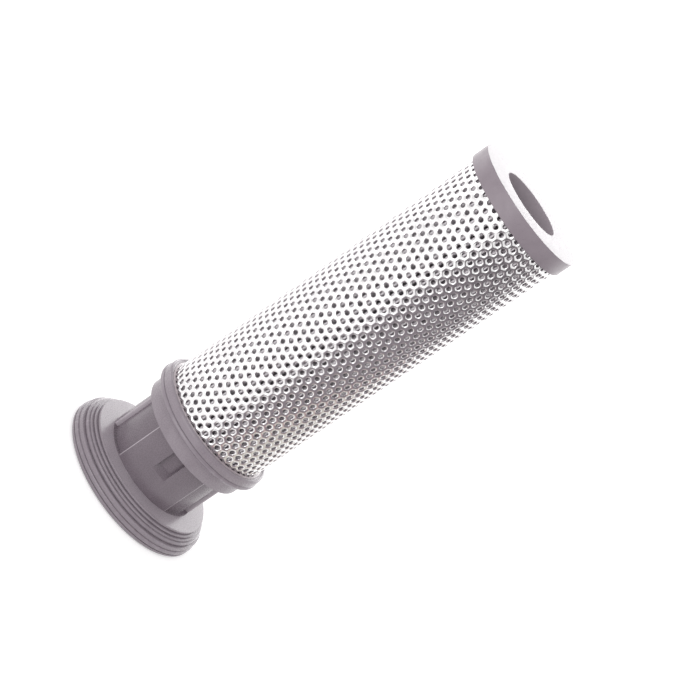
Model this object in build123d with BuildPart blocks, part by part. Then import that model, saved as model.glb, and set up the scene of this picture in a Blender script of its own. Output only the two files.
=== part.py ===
import os
from math import asin, atan2, cos, degrees, hypot, radians, sin

from build123d import *

os.makedirs("parts", exist_ok=True)

# Hydraulic filter element. Millimetres, +Z up along the axis, origin at the middle of the resting face.

# perforated steel tube, plain here
tube_diameter = 73.2
tube_wall = 0.9
tube_length = 210.0
weld_width = 1.8
weld_proud = 0.15

# end cap at the top
bore_diameter = 39.2
cap_wall = 1.3
cap_height = 10.1
cap_plate = 3.0
cap_edge_round = 0.6
spigot_wall = 3.1
spigot_depth = 17.0
bore_seal_height = 2.6
bore_seal_squeeze = 0.7
bore_seal_depth = 10.0

# pleated pack and the core inside it
core_wall = 1.6
core_window_rows = 8
core_window_columns = 6
core_rib_angle = 16.0
core_ring_height = 5.0
core_end_height = 18.0
pleat_count = 56
pleat_sheet = 0.7

# collar of the base moulding, which holds the tube
lip_gap = 1.0
lip_wall = 3.1
lip_height = 4.8
lip_round = 1.4
band_inset = 0.2
band_height = 8.7
band_wall = 2.5
shoulder_height = 1.0
shoulder_inset = 1.3
seat_floor = 3.2
seat_spigot_wall = 2.0
seat_spigot_height = 4.0
collar_seal_height = 2.7
collar_seal_proud = 0.6

# neck of the base moulding, cored inside, with wide recesses and narrow slots sunk into its outside
neck_inset = 4.4
neck_wall = 4.2
neck_height = 31.3
recess_angle = 43.5
recess_depth = 2.4
recess_sill = 1.6
recess_edge_round = 0.5
slot_angle = 17.0
slot_height = 18.0
slot_depth = 3.0
slot_count = 3

# flange of the base moulding: stepped outside, cored underneath
rim_diameter = 101.2
rim_height = 2.7
rim_chamfer = 1.5
lower_seal_cord = 2.8
land_inset = 0.9
land_height = 2.8
upper_seal_cord = 2.4
upper_seal_inset = 2.5
step_insets = (3.9, 5.4, 6.9)
step_height = 1.3
step_chamfer = 0.35
line_groove_height = 0.4
line_groove_depth = 0.7
flange_plate = 3.0
flange_wall_depth = 10.4
under_rib_count = 6
under_rib_width = 2.4
under_rise = 1.5
floor_plate = 2.5

# clearances
fit_gap = 0.15
skirt_gap = 0.05
pleat_gap = 0.3
groove_gap = 0.1
glue_gap = 0.05
glue_bed = 1.5
glue_fillet = 1.2

# heights up the axis
flange_levels = [rim_height + lower_seal_cord + groove_gap]
flange_levels.append(flange_levels[-1] + land_height)
flange_levels.append(flange_levels[-1] + upper_seal_cord + groove_gap)
steps_bottom = flange_levels[-1]
flange_top = steps_bottom + len(step_insets) * step_height + (len(step_insets) - 1) * line_groove_height
neck_top = flange_top + neck_height
shoulder_bottom = neck_top + band_height
seal_bottom = shoulder_bottom + shoulder_height
lip_bottom = seal_bottom + collar_seal_height + groove_gap
seat_top = lip_bottom
collar_top = lip_bottom + lip_height
tube_bottom = seat_top + glue_bed
tube_top = tube_bottom + tube_length
cap_under = tube_top + glue_bed
cap_top = cap_under + cap_plate

# radii, from the tube outwards and from the bore outwards
tube_radius = tube_diameter / 2
tube_inside = tube_radius - tube_wall
bore_radius = bore_diameter / 2
spigot_radius = bore_radius + spigot_wall
core_inside = spigot_radius + fit_gap
core_radius = core_inside + core_wall
lip_inside = tube_radius + lip_gap
lip_radius = lip_inside + lip_wall
seal_crest = lip_radius + collar_seal_proud
band_radius = lip_inside - band_inset
neck_radius = band_radius - neck_inset
neck_inside = neck_radius - neck_wall
rim_radius = rim_diameter / 2
cap_inside = tube_radius + weld_proud + skirt_gap
cap_radius = cap_inside + cap_wall


def block(inner, outer, low, high, mode=Mode.ADD):
    """One rectangle of a turned section, between two radii and two heights."""
    with Locations((inner, low)):
        Rectangle(outer - inner, high - low, align=(Align.MIN, Align.MIN), mode=mode)


def polar(distance, angle, centre=(0, 0)):
    """A point at a distance and an angle in degrees from a centre."""
    return (centre[0] + distance * cos(radians(angle)), centre[1] + distance * sin(radians(angle)))


def sector(middle, width, reach):
    """A wedge from the axis out past a radius, for cutting windows with radial sides."""
    corner = reach / cos(radians(width / 2)) + 1
    Polygon((0, 0), polar(corner, middle - width / 2), polar(corner, middle + width / 2), align=None)


def nosed_section(crest, height, middle, nose):
    """Section of a moulded seal: a square back with a half-round nose at its crest."""
    back = crest - nose * height / 2
    with Locations((back, middle)):
        Circle(height / 2)
    with Locations((back - nose * height / 4, middle)):
        Rectangle(height / 2, height)


def cord_circle(crest, cord, middle):
    """Section of a round seal, given by its outermost radius."""
    with Locations((crest - cord / 2, middle)):
        Circle(cord / 2)


# base moulding: flange, neck and collar turned in one section
with BuildPart() as base_moulding:
    with BuildSketch(Plane.XZ) as base_section:
        block(0, rim_radius, 0, rim_height)
        block(0, rim_radius - lower_seal_cord, rim_height, flange_levels[0])
        block(0, rim_radius - land_inset, flange_levels[0], flange_levels[1])
        block(0, rim_radius - upper_seal_inset - upper_seal_cord, flange_levels[1], flange_levels[2])
        for number, inset in enumerate(step_insets):
            step_low = steps_bottom + number * (step_height + line_groove_height)
            block(0, rim_radius - inset, step_low, step_low + step_height)
            if number:
                groove_radius = rim_radius - inset - line_groove_depth
                block(0, groove_radius, step_low - line_groove_height, step_low)
        block(0, rim_radius - flange_wall_depth, 0, flange_top - flange_plate, Mode.SUBTRACT)
        block(0, neck_inside, 0, flange_top, Mode.SUBTRACT)
        block(neck_inside, neck_radius, under_rise, neck_top)
        block(0, neck_inside, under_rise, under_rise + floor_plate)
        block(neck_inside, band_radius, neck_top, neck_top + band_wall)
        block(band_radius - band_wall, band_radius, neck_top, shoulder_bottom)
        block(band_radius - band_wall, lip_radius - shoulder_inset, shoulder_bottom, seal_bottom)
        block(band_radius - band_wall, seal_crest - collar_seal_height, seal_bottom, lip_bottom)
        block(spigot_radius - seat_spigot_wall, seal_crest - collar_seal_height, seat_top - seat_floor, seat_top)
        block(spigot_radius - seat_spigot_wall, spigot_radius, seat_top, seat_top + seat_spigot_height)
        block(lip_inside, lip_radius, lip_bottom, collar_top)
        lip_corners = [
            v for v in base_section.vertices() if abs(v.Y - collar_top) < 0.01 and v.X > lip_inside - 0.01
        ]
        fillet(lip_corners, lip_round)
        rim_corner = base_section.vertices().group_by(Axis.Y)[0].sort_by(Axis.X)[-1]
        chamfer(rim_corner, rim_chamfer)
        step_corners = [
            v
            for v in base_section.vertices()
            if any(abs(v.X - rim_radius + inset) < 0.01 for inset in step_insets)
        ]
        chamfer(step_corners, step_chamfer)
    revolve(axis=Axis.Z)
    # ribs between neck and rim, in the cored underside
    with BuildSketch(Plane.XY.offset(under_rise)):
        rib_reach = rim_radius - flange_wall_depth - neck_radius + neck_wall
        with PolarLocations(neck_radius - neck_wall / 2 + rib_reach / 2, under_rib_count):
            Rectangle(rib_reach, under_rib_width)
    extrude(amount=flange_top - flange_plate - under_rise)
    # wide recesses in the outside of the neck, from a low sill up to the collar
    with BuildSketch(Plane.XY.offset(flange_top + recess_sill)):
        for number in range(slot_count):
            sector(-90 + (number + 0.5) * 360 / slot_count, recess_angle, neck_radius)
        Circle(neck_radius - recess_depth, mode=Mode.SUBTRACT)
    extrude(amount=neck_height - recess_sill, mode=Mode.SUBTRACT)
    recess_edges = [
        e
        for e in base_moulding.edges().filter_by(Axis.Z)
        if abs(e.center().Z - (flange_top + recess_sill + neck_top) / 2) < 0.01
        and abs(Vector(e.center().X, e.center().Y).length - neck_radius) < 0.01
    ]
    fillet(recess_edges, recess_edge_round)
    # narrow slots in the pillars between the recesses, below the collar
    with BuildSketch(Plane.XY.offset(neck_top - slot_height)):
        for number in range(slot_count):
            sector(-90 + number * 360 / slot_count, slot_angle, neck_radius)
        Circle(neck_radius - slot_depth, mode=Mode.SUBTRACT)
    extrude(amount=slot_height, mode=Mode.SUBTRACT)

with BuildPart() as flange_seal_lower:
    with BuildSketch(Plane.XZ):
        cord_circle(rim_radius, lower_seal_cord, (rim_height + flange_levels[0]) / 2)
    revolve(axis=Axis.Z)

with BuildPart() as flange_seal_upper:
    with BuildSketch(Plane.XZ):
        cord_circle(rim_radius - upper_seal_inset, upper_seal_cord, (flange_levels[1] + flange_levels[2]) / 2)
    revolve(axis=Axis.Z)

with BuildPart() as collar_seal:
    with BuildSketch(Plane.XZ):
        nosed_section(seal_crest, collar_seal_height, (seal_bottom + lip_bottom) / 2, 1)
    revolve(axis=Axis.Z)

# tube: rolled sheet, butt welded along the back
with BuildPart() as outer_tube:
    with BuildSketch(Plane.XY.offset(tube_bottom)):
        with Locations((0, tube_radius - tube_wall / 2)):
            Rectangle(weld_width, tube_wall + 2 * weld_proud)
        Circle(tube_radius)
        Circle(tube_inside, mode=Mode.SUBTRACT)
    extrude(amount=tube_length)

# pleated pack: folds as thick as the sheet, each creased in three flats, with straight legs between them
tip_distance = tube_inside - pleat_gap - pleat_sheet
root_distance = core_radius + pleat_gap + pleat_sheet
half_pitch = 180 / pleat_count
tip_centre = polar(tip_distance, 0)
root_centre = polar(root_distance, half_pitch)
leg_run = (root_centre[0] - tip_centre[0], root_centre[1] - tip_centre[1])
leg_angle = degrees(atan2(leg_run[1], leg_run[0]) + asin(pleat_sheet / hypot(*leg_run))) - 90

with BuildLine() as pleat_outside:
    fold_angles = [leg_angle * share for share in (-1, -1 / 3, 1 / 3, 1)]
    tip_fold = [polar(pleat_sheet, angle, tip_centre) for angle in fold_angles]
    Polyline(polar(root_distance, -half_pitch), *tip_fold, root_centre)

with BuildLine() as pleat_inside:
    fold_angles = [180 + half_pitch + (leg_angle - half_pitch) * share for share in (1, 1 / 3, -1 / 3, -1)]
    root_fold = [polar(pleat_sheet, angle, root_centre) for angle in fold_angles]
    Polyline(tip_centre, *root_fold, polar(tip_distance, 2 * half_pitch))

with BuildPart() as filter_pleats:
    with BuildSketch(Plane.XY.offset(tube_bottom)):
        with BuildLine():
            with PolarLocations(0, pleat_count):
                add(pleat_outside.line)
        make_face()
        with BuildLine():
            with PolarLocations(0, pleat_count):
                add(pleat_inside.line)
        make_face(mode=Mode.SUBTRACT)
    extrude(amount=tube_length)

# core: moulded tube with rows of windows between rings and ribs
with BuildPart() as core_tube:
    with BuildSketch(Plane.XY.offset(tube_bottom)):
        Circle(core_radius)
        Circle(core_inside, mode=Mode.SUBTRACT)
    extrude(amount=tube_length)
    row_pitch = (tube_length - 2 * core_end_height + core_ring_height) / core_window_rows
    for row in range(core_window_rows):
        with BuildSketch(Plane.XY.offset(tube_bottom + core_end_height + row * row_pitch)):
            for column in range(core_window_columns):
                pitch_angle = 360 / core_window_columns
                sector(column * pitch_angle, pitch_angle - core_rib_angle, core_radius)
        extrude(amount=row_pitch - core_ring_height, mode=Mode.SUBTRACT)

# glue beds that bond tube, pack and core into the collar and the cap
with BuildPart() as glue_lower:
    with BuildSketch(Plane.XZ):
        block(spigot_radius + glue_gap, lip_inside - glue_gap, seat_top, tube_bottom)
        block(tube_radius + weld_proud + glue_gap, lip_inside - glue_gap, tube_bottom, tube_bottom + glue_fillet)
    revolve(axis=Axis.Z)

with BuildPart() as glue_upper:
    with BuildSketch(Plane.XZ):
        block(spigot_radius + glue_gap, cap_inside - glue_gap, tube_top, cap_under)
    revolve(axis=Axis.Z)

# end cap: plate, skirt over the tube and a spigot into the core
with BuildPart() as end_cap:
    with BuildSketch(Plane.XZ) as cap_section:
        block(bore_radius, cap_radius, cap_under, cap_top)
        block(cap_inside, cap_radius, cap_top - cap_height, cap_under)
        block(bore_radius, spigot_radius, cap_top - spigot_depth, cap_under)
        seal_top = cap_top - bore_seal_depth
        groove_floor = bore_radius - bore_seal_squeeze + bore_seal_height
        block(bore_radius, groove_floor, seal_top - bore_seal_height - groove_gap, seal_top, Mode.SUBTRACT)
        skirt_corner = cap_section.vertices().sort_by(Axis.X)[-2:].sort_by(Axis.Y)[0]
        fillet(skirt_corner, cap_edge_round)
    revolve(axis=Axis.Z)

with BuildPart() as bore_seal:
    with BuildSketch(Plane.XZ):
        seal_middle = seal_top - (bore_seal_height + groove_gap) / 2
        nosed_section(bore_radius - bore_seal_squeeze, bore_seal_height, seal_middle, -1)
    revolve(axis=Axis.Z)

pieces = {
    "base_moulding": base_moulding,
    "flange_seal_lower": flange_seal_lower,
    "flange_seal_upper": flange_seal_upper,
    "collar_seal": collar_seal,
    "outer_tube": outer_tube,
    "filter_pleats": filter_pleats,
    "core_tube": core_tube,
    "glue_lower": glue_lower,
    "glue_upper": glue_upper,
    "end_cap": end_cap,
    "bore_seal": bore_seal,
}
for name, piece in pieces.items():
    piece.part.label = name
    export_step(piece.part, f"parts/{name}.step")
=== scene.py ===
from math import atan2, cos, degrees, hypot, pi, radians, sin

import bmesh
import bpy
from mathutils import Matrix, Vector


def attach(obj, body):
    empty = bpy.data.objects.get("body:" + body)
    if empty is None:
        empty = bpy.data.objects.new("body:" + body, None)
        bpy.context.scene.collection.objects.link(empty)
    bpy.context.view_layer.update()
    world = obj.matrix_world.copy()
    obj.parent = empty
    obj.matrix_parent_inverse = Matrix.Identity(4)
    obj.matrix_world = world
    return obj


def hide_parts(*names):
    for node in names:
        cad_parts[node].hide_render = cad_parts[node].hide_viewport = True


# Hydraulic filter element. The pieces' dictionaries are in millimetres and degrees,
# the room's is in metres, and Blender is in metres.
mm = 0.001

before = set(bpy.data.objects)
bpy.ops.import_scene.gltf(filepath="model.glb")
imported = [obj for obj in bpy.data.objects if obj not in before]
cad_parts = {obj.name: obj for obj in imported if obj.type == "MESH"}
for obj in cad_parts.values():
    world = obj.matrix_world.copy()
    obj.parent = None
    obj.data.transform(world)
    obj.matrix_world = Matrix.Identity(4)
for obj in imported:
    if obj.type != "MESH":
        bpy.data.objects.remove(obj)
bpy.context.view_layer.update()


view = {
    "lens": 97.56,
    "distance": 1021.3,
    "azimuth": -10.3,
    "elevation": 17.47,
    "roll": 55.51,  # the camera lies on its side, so the filter leans up to the right
    "aimSide": 9.12,  # how far right of the axis the camera looks, before it rolls
    "aimHeight": 149.2,
}


def makeCamera():
    turn, rise = radians(view["azimuth"]), radians(view["elevation"])
    side = Vector((cos(turn), sin(turn), 0))
    aim = side * view["aimSide"] * mm + Vector((0, 0, view["aimHeight"] * mm))
    away = Vector((sin(turn) * cos(rise), -cos(turn) * cos(rise), sin(rise)))
    data = bpy.data.cameras.new("photoCamera")
    data.lens = view["lens"]
    data.sensor_width = 36
    data.sensor_fit = "HORIZONTAL"
    data.clip_end = 60
    camera = bpy.data.objects.new("photoCamera", data)
    bpy.context.scene.collection.objects.link(camera)
    place = Matrix.Translation(aim + away * view["distance"] * mm)
    level = (-away).to_track_quat("-Z", "Y").to_matrix().to_4x4()
    camera.matrix_world = place @ level @ Matrix.Rotation(radians(view["roll"]), 4, "Z")
    bpy.context.scene.camera = camera


makeCamera()
print("camera set")


def hexColour(text):
    # #rrggbb in sRGB to linear RGBA
    out = []
    for start in (1, 3, 5):
        c = int(text[start:start + 2], 16) / 255
        out.append(c / 12.92 if c <= 0.04045 else ((c + 0.055) / 1.055) ** 2.4)
    return (*out, 1.0)


def addNode(tree, kind, settings, links=None):
    # a setting goes to the socket of that name, or else to the node itself
    node = tree.nodes.new(kind)
    for key, value in settings.items():
        if key in node.inputs:
            node.inputs[key].default_value = value
        else:
            setattr(node, key, value)
    for key, source in (links or {}).items():
        tree.links.new(source, node.inputs[key])
    return node


def startMaterial(name):
    material = bpy.data.materials.new(name)
    material.use_nodes = True
    material.node_tree.nodes.clear()
    return material, material.node_tree


def colourSteps(ramp, stops):
    # stops are (position, sRGB hex)
    elements = ramp.color_ramp.elements
    while len(elements) < len(stops):
        elements.new(0.5)
    for element, (place, colour) in zip(elements, stops):
        element.position = place
        element.color = hexColour(colour)


# sockets of a Mix node that mixes colours
mixFactor, mixFirst, mixSecond, mixResult = 0, 6, 7, 2


def layTint(tree, colour, attribute, blend, tint):
    # lays a tint over a colour where the piece's attribute of that name is above 0
    place = addNode(tree, "ShaderNodeAttribute", {"attribute_name": attribute})
    mixed = addNode(tree, "ShaderNodeMix", {"data_type": "RGBA", "blend_type": blend})
    mixed.inputs[mixSecond].default_value = hexColour(tint)
    tree.links.new(place.outputs["Fac"], mixed.inputs[mixFactor])
    tree.links.new(colour, mixed.inputs[mixFirst])
    return mixed.outputs[mixResult]


def makeRolledSteel():
    # Stainless steel sheet, cold rolled bright, then punched:
    # nearly a mirror, with faint grain from the rolls.
    material, tree = startMaterial("rolledStainlessSteel")
    where = addNode(tree, "ShaderNodeTexCoord", {})
    # roll grain is about 0.05 mm apart, drawn at 0.8 mm across the lines so that it shows
    grainMap = addNode(
        tree, "ShaderNodeMapping", {"Scale": (1250, 1250, 30)}, {"Vector": where.outputs["Object"]}
    )
    grain = addNode(
        tree, "ShaderNodeTexNoise", {"Scale": 1.0, "Detail": 2.0}, {"Vector": grainMap.outputs["Vector"]}
    )
    # handling marks and slight dents, some 15 mm across
    cloud = addNode(
        tree, "ShaderNodeTexNoise", {"Scale": 65.0, "Detail": 3.0}, {"Vector": where.outputs["Object"]}
    )
    tone = addNode(tree, "ShaderNodeValToRGB", {}, {"Fac": cloud.outputs["Fac"]})
    colourSteps(tone, [(0.3, "#E4E2E3"), (0.7, "#F0EFEF")])
    # the punch shears the inside of each hole, which is torn and duller; its darkening here is also painted
    # shade in the holes
    steel = layTint(tree, tone.outputs["Color"], "shearedAndShaded", "MULTIPLY", "#B5AEB3")
    dull = addNode(
        tree,
        "ShaderNodeMapRange",
        {"From Min": 0.3, "From Max": 0.7, "To Min": 0.10, "To Max": 0.20},
        {"Value": grain.outputs["Fac"]},
    )
    dents = addNode(
        tree, "ShaderNodeBump", {"Strength": 0.25, "Distance": 0.0003}, {"Height": cloud.outputs["Fac"]}
    )
    lines = addNode(
        tree,
        "ShaderNodeBump",
        {"Strength": 0.12, "Distance": 0.00005},
        {"Height": grain.outputs["Fac"], "Normal": dents.outputs["Normal"]},
    )
    shader = addNode(
        tree,
        "ShaderNodeBsdfPrincipled",
        {"Metallic": 1.0},
        {"Base Color": steel, "Roughness": dull.outputs["Result"], "Normal": lines.outputs["Normal"]},
    )
    addNode(tree, "ShaderNodeOutputMaterial", {}, {"Surface": shader.outputs["BSDF"]})
    return material


def makeMouldedNylon(name, deep, pale, gloss, grainSize=0.6, tints=()):
    # Glass-filled nylon, injection moulded in a spark-eroded tool:
    # satin, finely pebbled, faintly mottled by the glass.
    material, tree = startMaterial(name)
    where = addNode(tree, "ShaderNodeTexCoord", {})
    pebble = addNode(
        tree,
        "ShaderNodeTexNoise",
        {"Scale": 1 / (grainSize * mm), "Detail": 3.0},
        {"Vector": where.outputs["Object"]},
    )
    # flow of the melt shows as pale streaks some 12 mm long round the moulding
    flow = addNode(
        tree,
        "ShaderNodeTexNoise",
        {"Scale": 80.0, "Detail": 4.0, "Distortion": 0.6},
        {"Vector": where.outputs["Object"]},
    )
    tone = addNode(tree, "ShaderNodeValToRGB", {}, {"Fac": flow.outputs["Fac"]})
    colourSteps(tone, [(0.3, deep), (0.7, pale)])
    colour = tone.outputs["Color"]
    for attribute, blend, tint in tints:
        colour = layTint(tree, colour, attribute, blend, tint)
    dull = addNode(
        tree,
        "ShaderNodeMapRange",
        {"From Min": 0.3, "From Max": 0.7, "To Min": gloss - 0.04, "To Max": gloss + 0.05},
        {"Value": pebble.outputs["Fac"]},
    )
    skin = addNode(
        tree, "ShaderNodeBump", {"Strength": 0.10, "Distance": 0.0001}, {"Height": pebble.outputs["Fac"]}
    )
    shader = addNode(
        tree,
        "ShaderNodeBsdfPrincipled",
        {"IOR": 1.53},
        {"Base Color": colour, "Roughness": dull.outputs["Result"], "Normal": skin.outputs["Normal"]},
    )
    addNode(tree, "ShaderNodeOutputMaterial", {}, {"Surface": shader.outputs["BSDF"]})
    return material


def makeSealRubber():
    # Nitrile rubber, moulded and left slightly oily:
    # a smooth skin with a soft shine, and a little bloom in patches some 4 mm across.
    material, tree = startMaterial("mouldedNitrileRubber")
    where = addNode(tree, "ShaderNodeTexCoord", {})
    bloom = addNode(
        tree, "ShaderNodeTexNoise", {"Scale": 240.0, "Detail": 4.0}, {"Vector": where.outputs["Object"]}
    )
    tone = addNode(tree, "ShaderNodeValToRGB", {}, {"Fac": bloom.outputs["Fac"]})
    colourSteps(tone, [(0.35, "#8B8189"), (0.75, "#958B93")])
    dull = addNode(
        tree,
        "ShaderNodeMapRange",
        {"From Min": 0.3, "From Max": 0.7, "To Min": 0.20, "To Max": 0.30},
        {"Value": bloom.outputs["Fac"]},
    )
    skin = addNode(
        tree, "ShaderNodeBump", {"Strength": 0.06, "Distance": 0.0001}, {"Height": bloom.outputs["Fac"]}
    )
    shader = addNode(
        tree,
        "ShaderNodeBsdfPrincipled",
        {"IOR": 1.52},
        {
            "Base Color": tone.outputs["Color"],
            "Roughness": dull.outputs["Result"],
            "Normal": skin.outputs["Normal"],
        },
    )
    addNode(tree, "ShaderNodeOutputMaterial", {}, {"Surface": shader.outputs["BSDF"]})
    return material


def makeFilterMedia():
    # Glass-fibre filter paper, laid and resin bonded:
    # chalky off-white, with a felted surface drawn at 0.4 mm so that it shows.
    material, tree = startMaterial("laidGlassFibreMedia")
    where = addNode(tree, "ShaderNodeTexCoord", {})
    felt = addNode(
        tree,
        "ShaderNodeTexNoise",
        {"Scale": 2500.0, "Detail": 5.0, "Roughness": 0.7},
        {"Vector": where.outputs["Object"]},
    )
    tone = addNode(tree, "ShaderNodeValToRGB", {}, {"Fac": felt.outputs["Fac"]})
    colourSteps(tone, [(0.3, "#E0DADF"), (0.7, "#F4F0F3")])
    nap = addNode(
        tree, "ShaderNodeBump", {"Strength": 0.4, "Distance": 0.0001}, {"Height": felt.outputs["Fac"]}
    )
    shader = addNode(
        tree,
        "ShaderNodeBsdfPrincipled",
        {"Roughness": 0.9, "IOR": 1.5},
        {"Base Color": tone.outputs["Color"], "Normal": nap.outputs["Normal"]},
    )
    addNode(tree, "ShaderNodeOutputMaterial", {}, {"Surface": shader.outputs["BSDF"]})
    return material


def makePottingGlue():
    # Two-part polyurethane, poured and set:
    # pale putty with a glassy skin, and trapped bubbles about 1 mm apart.
    material, tree = startMaterial("pouredPolyurethane")
    where = addNode(tree, "ShaderNodeTexCoord", {})
    bubbles = addNode(
        tree, "ShaderNodeTexVoronoi", {"Scale": 900.0}, {"Vector": where.outputs["Object"]}
    )
    tone = addNode(tree, "ShaderNodeValToRGB", {}, {"Fac": bubbles.outputs["Distance"]})
    colourSteps(tone, [(0.1, "#C4B8BC"), (0.6, "#B2A6AB")])
    skin = addNode(
        tree,
        "ShaderNodeBump",
        {"Strength": 0.2, "Distance": 0.0001},
        {"Height": bubbles.outputs["Distance"]},
    )
    shader = addNode(
        tree,
        "ShaderNodeBsdfPrincipled",
        {"Roughness": 0.25, "IOR": 1.5},
        {"Base Color": tone.outputs["Color"], "Normal": skin.outputs["Normal"]},
    )
    addNode(tree, "ShaderNodeOutputMaterial", {}, {"Surface": shader.outputs["BSDF"]})
    return material


rolledSteel = makeRolledSteel()
# painted shade darkens the neck and, deeper, the slots' floors; painted light pales the recesses' edges and
# the flange's top face
baseTints = [
    ("neckShade", "MULTIPLY", "#D1CDD0"),
    ("slot", "MULTIPLY", "#F2EFF1"),
    ("paintedLight", "MIX", "#C6BDC4"),
]
# painted light pales the cap's bore
capTints = [("bore", "MIX", "#BDB3BA")]
baseNylon = makeMouldedNylon("mouldedNylonBase", "#8B8189", "#958B93", 0.27, tints=baseTints)
capNylon = makeMouldedNylon("mouldedNylonCap", "#887D85", "#92878F", 0.30, tints=capTints)
coreNylon = makeMouldedNylon("mouldedNylonCore", "#61595F", "#6C646A", 0.45, 0.9)
sealRubber = makeSealRubber()
filterMedia = makeFilterMedia()
pottingGlue = makePottingGlue()
print("materials made")


def meshObject(name, mesh, finish):
    data = bpy.data.meshes.new(name)
    mesh.to_mesh(data)
    mesh.free()
    data.materials.append(finish)
    item = bpy.data.objects.new(name, data)
    bpy.context.scene.collection.objects.link(item)
    return item


def newPiece(name, mesh, finish, stoodFor, sharpAngle=32):
    # shade smooth, except across edges that are sharper than the angle
    for face in mesh.faces:
        face.smooth = True
    for edge in mesh.edges:
        if len(edge.link_faces) == 2 and edge.calc_face_angle() > radians(sharpAngle):
            edge.smooth = False
    piece = meshObject(name, mesh, finish)
    flat = piece.modifiers.new("flatFacesStayFlat", "WEIGHTED_NORMAL")
    flat.mode = "FACE_AREA"
    flat.keep_sharp = True
    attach(piece, "root")
    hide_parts(stoodFor)
    print(name, "has", sum(len(p.vertices) - 2 for p in piece.data.polygons), "triangles")


def vertsOf(geom):
    return [item for item in geom if isinstance(item, bmesh.types.BMVert)]


def edgesAmong(geom, verts):
    edges = [item for item in geom if isinstance(item, bmesh.types.BMEdge)]
    return [edge for edge in edges if all(vert in verts for vert in edge.verts)]


def turnOutline(mesh, corners, arcs):
    # corners are (radius, height, rounding) and arcs are (degrees, steps):
    # the rounded outline is turned to the front, then spun through the arcs
    points = [mesh.verts.new((radius * mm, 0, height * mm)) for radius, height, rounding in corners]
    mesh.faces.new(points)
    for size in sorted({corner[2] for corner in corners if corner[2]}):
        chosen = [point for point, corner in zip(points, corners) if corner[2] == size]
        bmesh.ops.bevel(
            mesh,
            geom=chosen,
            offset=size * mm,
            offset_type="OFFSET",
            segments=4 if size > 1 else 2,
            profile=0.5,
            affect="VERTICES",
            material=-1,
        )
    bmesh.ops.delete(mesh, geom=mesh.faces[:], context="FACES_ONLY")
    axisEdges = [edge for edge in mesh.edges if max(abs(v.co.x) for v in edge.verts) < 1e-7]
    bmesh.ops.delete(mesh, geom=axisEdges, context="EDGES")
    toFront = Matrix.Rotation(radians(-90), 3, "Z")
    bmesh.ops.rotate(mesh, verts=mesh.verts[:], cent=(0, 0, 0), matrix=toFront)
    outline = mesh.verts[:] + mesh.edges[:]
    for arc, steps in arcs:
        spun = bmesh.ops.spin(
            mesh,
            geom=outline,
            cent=(0, 0, 0),
            axis=(0, 0, 1),
            angle=radians(arc),
            steps=steps,
            use_merge=arc == 360,
        )
        outline = spun["geom_last"]
    bmesh.ops.remove_doubles(mesh, verts=mesh.verts[:], dist=2e-7)
    bmesh.ops.recalc_face_normals(mesh, faces=mesh.faces[:])


def angleOf(place, middle):
    # degrees round the axis from a middle direction, -180 to 180
    return (degrees(atan2(place.y, place.x)) - middle + 180) % 360 - 180


tube = {
    "radius": 36.6,
    "wall": 0.9,
    "low": 60.9,
    "high": 270.9,
    "holesRound": 46,
    "rows": 48,
    "rowPitch": 4.288,
    "firstRow": 63.212,
    "phase": -104.46,  # direction of a hole in the second row
    "holeRadius": 1.33,
    "holeSides": 12,
    "rimRadius": 2.0,  # the punch rolls the edge in over this ring
    "rimDepth": 0.35,
}


def punchCell(sheet, hexagonRadius, squeeze):
    # a hexagon of sheet round a hole with a rolled rim, front face at z 0
    hexagon = bmesh.ops.create_circle(sheet, segments=6, radius=hexagonRadius * mm)["verts"]
    bmesh.ops.scale(sheet, vec=(1, squeeze, 1), verts=hexagon)
    rim = bmesh.ops.create_circle(sheet, segments=tube["holeSides"], radius=tube["rimRadius"] * mm)["verts"]
    rimEdges = edgesAmong(sheet.edges, rim)
    bmesh.ops.triangle_fill(sheet, use_beauty=True, edges=sheet.edges[:])
    rolled = bmesh.ops.extrude_edge_only(sheet, edges=rimEdges)["geom"]
    rolledVerts = vertsOf(rolled)
    shrink = tube["holeRadius"] / tube["rimRadius"]
    bmesh.ops.scale(sheet, vec=(shrink, shrink, 1), verts=rolledVerts)
    bmesh.ops.translate(sheet, vec=(0, 0, -tube["rimDepth"] * mm), verts=rolledVerts)
    bore = bmesh.ops.extrude_edge_only(sheet, edges=edgesAmong(rolled, rolledVerts))["geom"]
    boreVerts = vertsOf(bore)
    bmesh.ops.translate(sheet, vec=(0, 0, (tube["rimDepth"] - tube["wall"]) * mm), verts=boreVerts)
    back = bmesh.ops.create_circle(sheet, segments=6, radius=hexagonRadius * mm)["verts"]
    bmesh.ops.scale(sheet, vec=(1, squeeze, 1), verts=back)
    bmesh.ops.translate(sheet, vec=(0, 0, -tube["wall"] * mm), verts=back)
    backEdges = edgesAmong(sheet.edges, back) + edgesAmong(bore, boreVerts)
    bmesh.ops.triangle_fill(sheet, use_beauty=True, edges=backEdges)


def copyBy(mesh, geom, shift):
    copied = bmesh.ops.duplicate(mesh, geom=geom)["geom"]
    bmesh.ops.translate(mesh, vec=shift, verts=vertsOf(copied))


def squareEnds(sheet, lastRow):
    # the zigzag of cells at each end is drawn out to the tube's length and its wall closed
    openEdges = [edge for edge in sheet.edges if edge.is_boundary]
    lowEdges = [edge for edge in openEdges if edge.verts[0].co.z < tube["firstRow"] * mm]
    highEdges = [edge for edge in openEdges if edge.verts[0].co.z > lastRow * mm]
    for edges, level in ((lowEdges, tube["low"]), (highEdges, tube["high"])):
        for vert in {vert for edge in edges for vert in edge.verts}:
            vert.co.z = level * mm
        bmesh.ops.bridge_loops(sheet, edges=edges)


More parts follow.
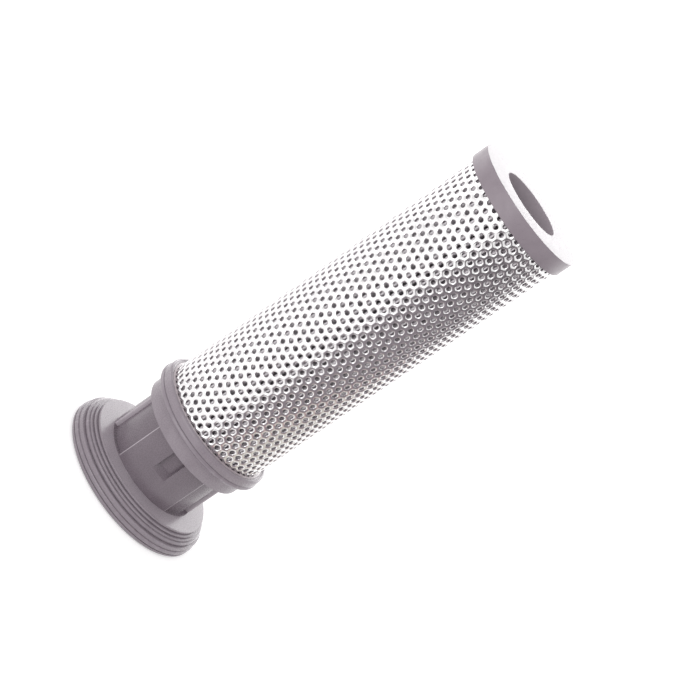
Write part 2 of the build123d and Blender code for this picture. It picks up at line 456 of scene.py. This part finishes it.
def makeTube():
    sheet = bmesh.new()
    pitch = 2 * pi * tube["radius"] / tube["holesRound"]
    hexagonRadius = pitch / 3**0.5
    punchCell(sheet, hexagonRadius, tube["rowPitch"] / (hexagonRadius * 1.5))
    # a row of cells, then the rows, each shifted by half a pitch from the last
    cell = sheet.verts[:] + sheet.edges[:] + sheet.faces[:]
    for column in range(1, tube["holesRound"]):
        copyBy(sheet, cell, (column * pitch * mm, 0, 0))
    row = sheet.verts[:] + sheet.edges[:] + sheet.faces[:]
    for number in range(1, tube["rows"]):
        shift = (number % 2) * pitch / 2
        copyBy(sheet, row, (shift * mm, number * tube["rowPitch"] * mm, 0))
    # rolled into a tube; the second row is the one shifted by half a pitch
    start = radians(tube["phase"]) - pitch / 2 / tube["radius"]
    for vert in sheet.verts:
        turn = start + vert.co.x / (tube["radius"] * mm)
        out = tube["radius"] * mm + vert.co.z
        vert.co = (out * cos(turn), out * sin(turn), vert.co.y + tube["firstRow"] * mm)
    bmesh.ops.remove_doubles(sheet, verts=sheet.verts[:], dist=5e-6)
    lastRow = tube["firstRow"] + (tube["rows"] - 1) * tube["rowPitch"]
    squareEnds(sheet, lastRow)
    bmesh.ops.recalc_face_normals(sheet, faces=sheet.faces[:])
    # the holes' walls, between the rolled rim and the back, are marked for the sheared tone and painted
    # shade
    shearedAndShaded = sheet.faces.layers.float.new("shearedAndShaded")
    lowest, highest = tube["firstRow"] - tube["rimRadius"], lastRow + tube["rimRadius"]
    deepest = tube["wall"] - 0.1
    for face in sheet.faces:
        centre = face.calc_center_median()
        depth = tube["radius"] - hypot(centre.x, centre.y) / mm
        if lowest < centre.z / mm < highest and tube["rimDepth"] < depth < deepest:
            face[shearedAndShaded] = 1.0
    newPiece("perforatedTube", sheet, rolledSteel, "outer_tube", 80)


makeTube()


# the butt weld up the back of the tube, rippled by its beads
seam = {"width": 1.8, "thick": 0.6, "centre": 36.4, "beads": 140, "ripple": 0.08}


def makeSeam():
    mesh = bmesh.new()
    ring = bmesh.ops.create_circle(mesh, cap_ends=True, segments=12, radius=seam["width"] / 2 * mm)["verts"]
    bmesh.ops.scale(mesh, vec=(1, seam["thick"] / seam["width"], 1), verts=ring)
    bmesh.ops.translate(mesh, vec=(0, seam["centre"] * mm, tube["low"] * mm), verts=ring)
    rise = (tube["high"] - tube["low"]) / seam["beads"]
    toCentre = Matrix.Translation((0, -seam["centre"] * mm, 0))
    top = mesh.faces[:]
    for bead in range(seam["beads"]):
        raised = bmesh.ops.extrude_face_region(mesh, geom=top)["geom"]
        if bead:
            oldTop = [face for face in top if face.is_valid]
            bmesh.ops.delete(mesh, geom=oldTop, context="FACES_ONLY")
        top = [item for item in raised if isinstance(item, bmesh.types.BMFace)]
        verts = vertsOf(raised)
        bmesh.ops.translate(mesh, vec=(0, 0, rise * mm), verts=verts)
        swell = 1 + seam["ripple"] * (1 if bead % 2 == 0 else -1)
        bmesh.ops.scale(mesh, vec=(swell, 1, 1), space=toCentre, verts=verts)
    bmesh.ops.recalc_face_normals(mesh, faces=mesh.faces[:])
    newPiece("tubeWeld", mesh, rolledSteel, "outer_tube", 60)


makeSeam()


base = {
    # radius, height, rounding
    "outline": [
        # the pocket underneath, and the foot
        (0, 1.5, 0), (33.0, 1.5, 0.3), (33.0, 12.6, 0.3), (40.2, 12.6, 0.3), (40.2, 0, 0.3),
        (49.1, 0, 0.3), (50.6, 1.5, 0.3), (50.6, 2.7, 0.25),
        # lower seal groove, broad land, upper seal groove
        (47.8, 2.7, 0.1), (47.8, 5.6, 0.1), (49.7, 5.6, 0.25), (49.7, 8.4, 0.25),
        (45.7, 8.4, 0.1), (45.7, 10.9, 0.1),
        # three steps with a line between them, up to the flange's top face
        (46.7, 10.9, 0.15), (46.7, 12.2, 0.35), (44.5, 12.2, 0.08), (44.5, 12.6, 0.08),
        (45.2, 12.6, 0.12), (45.2, 13.9, 0.35), (43.0, 13.9, 0.08), (43.0, 14.3, 0.08),
        (43.7, 14.3, 0.12), (43.7, 15.6, 0.35),
        # neck, with a ring of edges at the foot of the recesses and of the slots
        (33.0, 15.6, 0.15), (33.0, 16.0, 0), (33.0, 29.7, 0), (33.0, 46.9, 0),
        # band, shoulder, collar seal's seat, lip
        (37.4, 46.9, 0.3), (37.4, 55.2, 0.2), (39.4, 55.2, 0.25), (39.4, 56.3, 0.1),
        (38.6, 56.3, 0), (38.6, 59.4, 0), (40.7, 59.4, 0.2), (40.7, 64.2, 1.4), (37.6, 64.2, 1.4),
        # seat for the tube, spigot for the core, chamber in the neck
        (37.6, 59.4, 0.1), (22.7, 59.4, 0.1), (22.7, 63.4, 0.2), (20.7, 63.4, 0.2),
        (20.7, 56.2, 0.2), (34.9, 56.2, 0.2), (34.9, 49.4, 0.2), (28.8, 49.4, 0.2),
        (28.8, 4.0, 0.4), (0, 4.0, 0),
    ],
    "landHeight": 15.6,
    "neckRadius": 33.0,
    "neckTop": 46.9,
    "recess": {
        "angle": 43.5,
        "low": 16.0,
        "depth": 2.4,
        "ramp": 0,  # rise of the pocket's foot from the wall to its floor
        "middles": (-30, 90, 210),
        "rounding": 0.9,
    },
    "slot": {
        "angle": 17.0,
        "low": 29.7,
        "depth": 3.0,
        "ramp": 4.2,
        "middles": (-90, 30, 150),
        "rounding": 0.15,
    },
    "ribs": 6,
    "ribWidth": 2.4,
    "ribFrom": 32.6,
    "ribTo": 40.6,
    "ribLow": 1.5,
    "ribHigh": 12.9,
    "landLight": 0.4,  # painted light on the flange's top face
    # painted highlight on the recesses' jambs and rounded edges
    "edgeHighlight": 0.8,
}


def sinkPocket(mesh, pocket):
    # the neck's wall is pushed in between two angles, and the pocket's upright edges are rounded
    wall = base["neckRadius"] * mm
    for middle in pocket["middles"]:
        faces = []
        for face in mesh.faces:
            centre = face.calc_center_median()
            onWall = abs(hypot(centre.x, centre.y) - wall) < 0.2 * mm
            inHeight = pocket["low"] * mm < centre.z < base["neckTop"] * mm
            if onWall and inHeight and abs(angleOf(centre, middle)) < pocket["angle"] / 2:
                faces.append(face)
        edges = list({edge for face in faces for edge in face.edges})
        pushed = bmesh.ops.extrude_face_region(mesh, geom=faces + edges)["geom"]
        bmesh.ops.delete(mesh, geom=[face for face in faces if face.is_valid], context="FACES")
        verts = vertsOf(pushed)
        inward = 1 - pocket["depth"] / base["neckRadius"]
        bmesh.ops.scale(mesh, vec=(inward, inward, 1), verts=verts)
        foot = [vert for vert in verts if abs(vert.co.z - pocket["low"] * mm) < 1e-6]
        bmesh.ops.translate(mesh, vec=(0, 0, pocket["ramp"] * mm), verts=foot)
    bmesh.ops.recalc_face_normals(mesh, faces=mesh.faces[:])
    uprights = []
    for edge in mesh.edges:
        centre = (edge.verts[0].co + edge.verts[1].co) / 2
        upright = (edge.verts[0].co - edge.verts[1].co).xy.length < 1e-6
        onWall = abs(hypot(centre.x, centre.y) - wall) < 1e-5
        turn = min(abs(angleOf(centre, middle)) for middle in pocket["middles"])
        atSide = abs(turn - pocket["angle"] / 2) < 0.1
        if upright and onWall and atSide and centre.z > pocket["low"] * mm:
            uprights.append(edge)
    bmesh.ops.bevel(
        mesh,
        geom=uprights,
        offset=pocket["rounding"] * mm,
        offset_type="OFFSET",
        segments=3,
        profile=0.5,
        affect="EDGES",
        material=-1,
    )


def markBase(mesh):
    # marks the neck's faces for painted shade, the slots' floors for a deeper painted shade,
    # and the flange's top face and the recesses' jambs and edges for painted light
    neckShade = mesh.faces.layers.float.new("neckShade")
    paintedLight = mesh.faces.layers.float.new("paintedLight")
    slotFloorShade = mesh.faces.layers.float.new("slot")
    recess = base["recess"]
    floorRadius = base["neckRadius"] - base["slot"]["depth"]
    # limits a little wide of the neck's walls, and of a recess's rounded edges
    lowest, inmost, outmost = recess["low"] - 0.5, floorRadius - 0.5, base["neckRadius"] + 0.1
    recessReach = recess["angle"] / 2 + 1.5
    for face in mesh.faces:
        centre = face.calc_center_median()
        out = hypot(centre.x, centre.y)
        if abs(centre.z - base["landHeight"] * mm) < 0.05 * mm and face.normal.z > 0.9:
            face[paintedLight] = base["landLight"]
        inHeight = lowest * mm < centre.z < base["neckTop"] * mm
        if not inHeight or not inmost * mm < out < outmost * mm:
            continue
        face[neckShade] = 1.0
        # 1 where a face looks straight out from the axis
        facing = (face.normal.x * centre.x + face.normal.y * centre.y) / out
        turn = min(abs(angleOf(centre, middle)) for middle in recess["middles"])
        if turn < recessReach and facing < 0.98 and abs(face.normal.z) < 0.3:
            face[paintedLight] = base["edgeHighlight"]
        if abs(out - floorRadius * mm) < 0.3 * mm and abs(face.normal.z) < 0.1:
            face[slotFloorShade] = 1.0


def makeBase():
    mesh = bmesh.new()
    recess, slot = base["recess"]["angle"], base["slot"]["angle"]
    pillar = (120 - recess - slot) / 2
    # a third of the way round, from the middle of one slot to the middle of the next
    third = [(slot / 2, 3), (pillar, 11), (recess, 16), (pillar, 11), (slot / 2, 3)]
    turnOutline(mesh, base["outline"], third * 3)
    sinkPocket(mesh, base["recess"])
    sinkPocket(mesh, base["slot"])
    # ribs in the pocket underneath, let into the walls beside them
    length = base["ribTo"] - base["ribFrom"]
    height = base["ribHigh"] - base["ribLow"]
    middle = Vector((base["ribFrom"] + length / 2, 0, base["ribLow"] + height / 2)) * mm
    size = Matrix.Diagonal((length * mm, base["ribWidth"] * mm, height * mm, 1))
    for number in range(base["ribs"]):
        turn = Matrix.Rotation(radians(360 / base["ribs"] * number), 4, "Z")
        bmesh.ops.create_cube(mesh, size=1, matrix=turn @ Matrix.Translation(middle) @ size)
    markBase(mesh)
    newPiece("slottedBase", mesh, baseNylon, "base_moulding")


makeBase()


seals = {
    # radius, height, rounding; the two on the flange are squeezed fuller than a round cord
    "flangeSealLow": {
        "outline": [(47.85, 2.75, 0.9), (50.6, 2.75, 0.9), (50.6, 5.55, 0.9), (47.85, 5.55, 0.9)],
        "node": "flange_seal_lower",
    },
    "flangeSealHigh": {
        "outline": [(45.75, 8.45, 0.8), (48.1, 8.45, 0.8), (48.1, 10.85, 0.8), (45.75, 10.85, 0.8)],
        "node": "flange_seal_upper",
    },
    "collarSeal": {
        "outline": [(38.6, 56.35, 0), (41.3, 56.35, 1.4), (41.3, 59.35, 1.4), (38.6, 59.35, 0)],
        "node": "collar_seal",
    },
    "boreSeal": {
        "outline": [(18.9, 262.75, 1.29), (21.5, 262.75, 0), (21.5, 265.35, 0), (18.9, 265.35, 1.29)],
        "node": "bore_seal",
    },
}


def makeSeals():
    for name, size in seals.items():
        mesh = bmesh.new()
        turnOutline(mesh, size["outline"], [(360, 144)])
        newPiece(name, mesh, sealRubber, size["node"])


makeSeals()


# the glue bed fills the collar inside the lip, and climbs the tube's foot a little
glueBed = {
    "outline": [
        (22.75, 59.45, 0), (37.58, 59.45, 0), (37.58, 62.8, 0), (37.9, 63.65, 0),
        (36.63, 64.0, 0), (36.63, 62.1, 0), (22.75, 62.1, 0),
    ],
}


def makeGlueBed():
    mesh = bmesh.new()
    turnOutline(mesh, glueBed["outline"], [(360, 144)])
    newPiece("pottedGlueBed", mesh, pottingGlue, "glue_lower")


makeGlueBed()


cap = {
    # radius, height, rounding
    "outline": [
        # spigot, underside, skirt, top face
        (19.6, 258.4, 0.3), (22.7, 258.4, 0.3), (22.7, 272.4, 0.2), (36.8, 272.4, 0.2),
        (36.8, 265.3, 0.15), (38.1, 265.3, 0.6), (38.1, 275.4, 0.3),
        # bore, with the groove for its seal
        (19.6, 275.4, 0.4), (19.6, 265.4, 0.1), (21.5, 265.4, 0), (21.5, 262.7, 0), (19.6, 262.7, 0.1),
    ],
    "boreRadius": 19.6,
    "boreLight": 0.7,  # painted light, paling the bore's walls
}


def makeCap():
    mesh = bmesh.new()
    turnOutline(mesh, cap["outline"], [(360, 144)])
    # the bore's faces carry painted light
    bore = mesh.faces.layers.float.new("bore")
    for face in mesh.faces:
        centre = face.calc_center_median()
        if hypot(centre.x, centre.y) < (cap["boreRadius"] + 0.1) * mm:
            face[bore] = cap["boreLight"]
    newPiece("boredEndCap", mesh, capNylon, "end_cap")


makeCap()


for node, finish in (
    ("filter_pleats", filterMedia),
    ("core_tube", coreNylon),
    ("glue_upper", pottingGlue),
):
    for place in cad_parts[node].material_slots:
        place.material = finish
print("inner pieces finished")


# in metres and watts
room = {
    "floorRadius": 20.0,
    "floorHeight": -0.0001,  # clear of the flange's underside
    "floorGlow": 0.42,
    "worldLevel": 0.78,
    "lamps": {
        "backLamp": {"size": (1.9, 0.6), "power": 12.5, "place": (0.3, 1.55, 0.38), "aim": (0, 0, 0.2)},
        "leftLamp": {"size": (0.8, 0.8), "power": 2.8, "place": (-1.15, 0.8, 0.35), "aim": (0, 0, 0.06)},
        "rightLamp": {"size": (0.8, 0.8), "power": 1.4, "place": (1.3, 0.5, 0.3), "aim": (0, 0, 0.04)},
        "frontLamp": {"size": (1.2, 1.2), "power": 8.0, "place": (-0.8, -1.35, 0.36), "aim": (0, 0, 0.04)},
    },
}


def seenRays(tree):
    # 1 for what the camera sees directly, in a mirror or through glass
    path = addNode(tree, "ShaderNodeLightPath", {})
    either = addNode(tree, "ShaderNodeMath", {"operation": "MAXIMUM"})
    tree.links.new(path.outputs["Is Camera Ray"], either.inputs[0])
    tree.links.new(path.outputs["Is Glossy Ray"], either.inputs[1])
    every = addNode(tree, "ShaderNodeMath", {"operation": "MAXIMUM"})
    tree.links.new(either.outputs[0], every.inputs[0])
    tree.links.new(path.outputs["Is Transmission Ray"], every.inputs[1])
    return every.outputs[0]


def makeFloor():
    # Matt white paper: the camera and mirrors see it a little brighter,
    # so that it goes white round the soft shadow.
    material, tree = startMaterial("mattPaper")
    seen = seenRays(tree)
    where = addNode(tree, "ShaderNodeTexCoord", {})
    fibre = addNode(
        tree, "ShaderNodeTexNoise", {"Scale": 900.0, "Detail": 2.0}, {"Vector": where.outputs["Object"]}
    )
    tone = addNode(tree, "ShaderNodeValToRGB", {}, {"Fac": fibre.outputs["Fac"]})
    colourSteps(tone, [(0.3, "#E9E8E8"), (0.7, "#EFEEEE")])
    paper = addNode(tree, "ShaderNodeBsdfDiffuse", {}, {"Color": tone.outputs["Color"]})
    glow = addNode(tree, "ShaderNodeEmission", {"Strength": room["floorGlow"]})
    dark = addNode(tree, "ShaderNodeEmission", {"Strength": 0.0})
    extra = addNode(tree, "ShaderNodeMixShader", {}, {"Fac": seen})
    tree.links.new(dark.outputs[0], extra.inputs[1])
    tree.links.new(glow.outputs[0], extra.inputs[2])
    both = addNode(tree, "ShaderNodeAddShader", {})
    tree.links.new(paper.outputs[0], both.inputs[0])
    tree.links.new(extra.outputs[0], both.inputs[1])
    addNode(tree, "ShaderNodeOutputMaterial", {}, {"Surface": both.outputs[0]})
    mesh = bmesh.new()
    disc = bmesh.ops.create_circle(mesh, cap_ends=True, segments=96, radius=room["floorRadius"])["verts"]
    bmesh.ops.translate(mesh, vec=(0, 0, room["floorHeight"]), verts=disc)
    floor = meshObject("paperFloor", mesh, material)


def makeWorld():
    world = bpy.data.worlds.new("paleRoom")
    bpy.context.scene.world = world
    world.use_nodes = True
    tree = world.node_tree
    tree.nodes.clear()
    white = (1, 1, 1, 1)
    lit = addNode(tree, "ShaderNodeBackground", {"Color": white, "Strength": room["worldLevel"]})
    shown = addNode(tree, "ShaderNodeBackground", {"Color": white, "Strength": 1.0})
    mixed = addNode(tree, "ShaderNodeMixShader", {}, {"Fac": seenRays(tree)})
    tree.links.new(lit.outputs[0], mixed.inputs[1])
    tree.links.new(shown.outputs[0], mixed.inputs[2])
    addNode(tree, "ShaderNodeOutputWorld", {}, {"Surface": mixed.outputs[0]})


def addLamp(name, settings):
    data = bpy.data.lights.new(name, "AREA")
    data.shape = "RECTANGLE"
    data.size, data.size_y = settings["size"]
    data.energy = settings["power"]
    lamp = bpy.data.objects.new(name, data)
    bpy.context.scene.collection.objects.link(lamp)
    place, aim = Vector(settings["place"]), Vector(settings["aim"])
    facing = (aim - place).to_track_quat("-Z", "Y").to_matrix().to_4x4()
    lamp.matrix_world = Matrix.Translation(place) @ facing


# a dark curved card stands to the front right, seen only in reflections,
# and gives the bright tube its dark band
card = {
    "radius": 150.0,
    "low": 4.0,
    "high": 245.0,
    "from": -95.0,
    "to": 13.0,
    "steps": 32,
    "lineSlope": 0.7,  # the line below which it pales, in shares of its width and height
    "lineStart": -0.08,
    "lineSoftness": (-0.03, 0.09),
    "level": 0.95,
    "topLevel": 0.4,  # darker along its top edge, which outlines the holes' rims
}


def makeCardPaint():
    # Matt painted board, unevenly lit: it gives off the grey that such a board would show.
    material, tree = startMaterial("darkCard")
    where = addNode(tree, "ShaderNodeTexCoord", {})
    # X is how far round the card and Y how far up it, 0 to 1
    share = addNode(tree, "ShaderNodeSeparateXYZ", {}, {"Vector": where.outputs["UV"]})
    softEnds = addNode(tree, "ShaderNodeValToRGB", {}, {"Fac": share.outputs["X"]})
    colourSteps(
        softEnds,
        [(0.0, "#FFFFFF"), (0.13, "#000000"), (0.77, "#000000"), (0.95, "#808080"), (1.0, "#FFFFFF")],
    )
    # below the slanting line it pales, through a warm tone, towards the foot of its right end
    line = addNode(tree, "ShaderNodeMath", {"operation": "MULTIPLY_ADD"})
    tree.links.new(share.outputs["X"], line.inputs[0])
    line.inputs[1].default_value = card["lineSlope"]
    line.inputs[2].default_value = card["lineStart"]
    under = addNode(tree, "ShaderNodeMath", {"operation": "SUBTRACT"})
    tree.links.new(line.outputs[0], under.inputs[0])
    tree.links.new(share.outputs["Y"], under.inputs[1])
    softFrom, softTo = card["lineSoftness"]
    paler = addNode(
        tree, "ShaderNodeMapRange", {"From Min": softFrom, "From Max": softTo}, {"Value": under.outputs[0]}
    )
    shade = addNode(tree, "ShaderNodeValToRGB", {}, {"Fac": paler.outputs["Result"]})
    colourSteps(shade, [(0.0, "#948C92"), (0.45, "#C29A9E"), (1.0, "#DFDAD2")])
    level = addNode(
        tree,
        "ShaderNodeMapRange",
        {"From Min": 0.7, "From Max": 1.0, "To Min": card["level"], "To Max": card["topLevel"]},
        {"Value": share.outputs["Y"]},
    )
    board = addNode(
        tree,
        "ShaderNodeEmission",
        {},
        {"Color": shade.outputs["Color"], "Strength": level.outputs["Result"]},
    )
    clear = addNode(tree, "ShaderNodeBsdfTransparent", {})
    mixed = addNode(tree, "ShaderNodeMixShader", {}, {"Fac": softEnds.outputs["Color"]})
    tree.links.new(board.outputs[0], mixed.inputs[1])
    tree.links.new(clear.outputs[0], mixed.inputs[2])
    addNode(tree, "ShaderNodeOutputMaterial", {}, {"Surface": mixed.outputs[0]})
    return material


def makeCard():
    mesh = bmesh.new()
    foot = mesh.verts.new((card["radius"] * mm, 0, card["low"] * mm))
    head = mesh.verts.new((card["radius"] * mm, 0, card["high"] * mm))
    upright = mesh.edges.new((foot, head))
    toStart = Matrix.Rotation(radians(card["from"]), 3, "Z")
    bmesh.ops.rotate(mesh, verts=[foot, head], cent=(0, 0, 0), matrix=toStart)
    width = card["to"] - card["from"]
    bmesh.ops.spin(
        mesh,
        geom=[foot, head, upright],
        cent=(0, 0, 0),
        axis=(0, 0, 1),
        angle=radians(width),
        steps=card["steps"],
    )
    layer = mesh.loops.layers.uv.new("round")
    for face in mesh.faces:
        for loop in face.loops:
            turn = degrees(atan2(loop.vert.co.y, loop.vert.co.x))
            loop[layer].uv = ((turn - card["from"]) / width, loop.vert.co.z / (card["high"] * mm))
    board = meshObject("darkCard", mesh, makeCardPaint())
    board.visible_camera = False
    board.visible_diffuse = False
    board.visible_shadow = False


makeFloor()
makeWorld()
for name, settings in room["lamps"].items():
    addLamp(name, settings)
makeCard()
bpy.context.scene.view_settings.view_transform = "Standard"
print("room lit")
